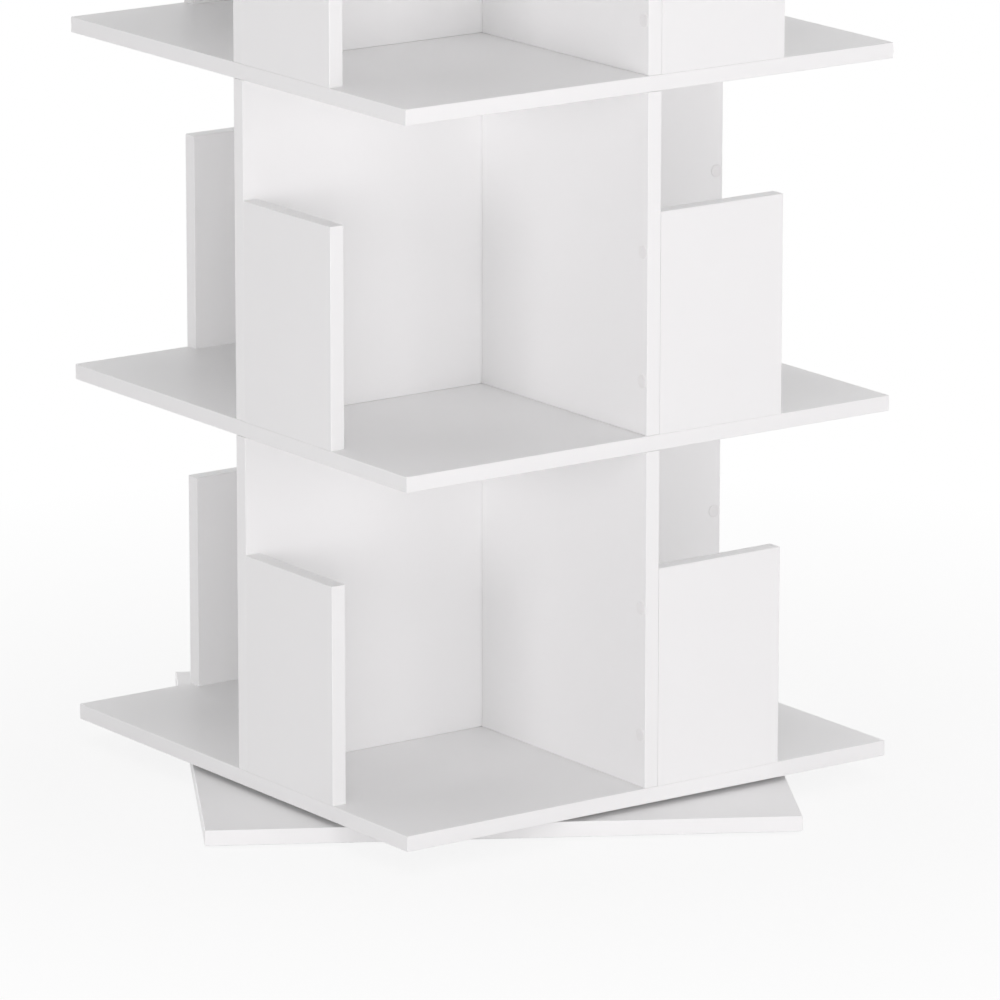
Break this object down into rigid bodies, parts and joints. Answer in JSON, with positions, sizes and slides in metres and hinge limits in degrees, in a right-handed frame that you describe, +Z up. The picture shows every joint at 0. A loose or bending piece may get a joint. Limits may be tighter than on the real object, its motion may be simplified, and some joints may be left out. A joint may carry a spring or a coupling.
{
  "type": "rotating shelf unit",
  "caption": "Square tower of open book compartments made of thin white coated boards, turning without end on a ball-bearing turntable over a square base.",
  "frame": {"origin": "on the floor, on the vertical axis that the tower turns about, at the bottom centre of the bounding box", "axes": "+Z up; the tower's sides lie along X and Y at rest; the base is stored turned by 30.5 degrees about -Z, as pictured"},
  "size_m": [0.7552, 0.7552, 1.3763],
  "materials": {
    "shelf_board": "white melamine coating on particle board, satin",
    "divider_board": "white melamine coating on particle board, satin",
    "panel_board": "white melamine coating on particle board, satin",
    "base_board": "white melamine coating on particle board, satin",
    "glide": "matt hard plastic",
    "plate_steel": "zinc-plated pressed sheet",
    "rivet_steel": "zinc-plated tube with rolled heads",
    "ball_steel": "polished steel",
    "nylon": "natural nylon"
  },
  "bodies": {
    "base": {"base_board": "base_board", "glide_1": "glide", "glide_2": "glide", "glide_3": "glide", "glide_4": "glide", "turntable_lower_plate": "plate_steel", "turntable_rivet": "rivet_steel", "turntable_washer": "nylon"},
    "ball_cage": {"turntable_cage": "nylon", "turntable_ball_01": "ball_steel", "turntable_ball_02": "ball_steel", "turntable_ball_03": "ball_steel", "turntable_ball_04": "ball_steel", "turntable_ball_05": "ball_steel", "turntable_ball_06": "ball_steel", "turntable_ball_07": "ball_steel", "turntable_ball_08": "ball_steel", "turntable_ball_09": "ball_steel", "turntable_ball_10": "ball_steel", "turntable_ball_11": "ball_steel", "turntable_ball_12": "ball_steel"},
    "tower": {"turntable_upper_plate": "plate_steel", "shelf_1": "shelf_board", "shelf_2": "shelf_board", "shelf_3": "shelf_board", "shelf_4": "shelf_board", "top_board": "shelf_board", "tier_1_long_divider": "divider_board", "tier_1_front_divider": "divider_board", "tier_1_back_divider": "divider_board", "tier_1_front_panel": "panel_board", "tier_1_right_panel": "panel_board", "tier_1_back_panel": "panel_board", "tier_1_left_panel": "panel_board", "tier_2_long_divider": "divider_board", "tier_2_front_divider": "divider_board", "tier_2_back_divider": "divider_board", "tier_2_front_panel": "panel_board", "tier_2_right_panel": "panel_board", "tier_2_back_panel": "panel_board", "tier_2_left_panel": "panel_board", "tier_3_long_divider": "divider_board", "tier_3_front_divider": "divider_board", "tier_3_back_divider": "divider_board", "tier_3_front_panel": "panel_board", "tier_3_right_panel": "panel_board", "tier_3_back_panel": "panel_board", "tier_3_left_panel": "panel_board", "tier_4_long_divider": "divider_board", "tier_4_front_divider": "divider_board", "tier_4_back_divider": "divider_board", "tier_4_front_panel": "panel_board", "tier_4_right_panel": "panel_board", "tier_4_back_panel": "panel_board", "tier_4_left_panel": "panel_board"}
  },
  "joints": [
    {"name": "tower_turn", "type": "hinge", "parent": "base", "child": "tower", "pos_m": [0, 0, 0.0213], "axis": [0, 0, 1], "continuous": true},
    {"name": "cage_turn", "type": "hinge", "parent": "base", "child": "ball_cage", "pos_m": [0, 0, 0.01675], "axis": [0, 0, 1], "continuous": true}
  ],
  "couplings": [
    {"joint": "cage_turn", "follows": "tower_turn", "ratio": 0.5}
  ]
}
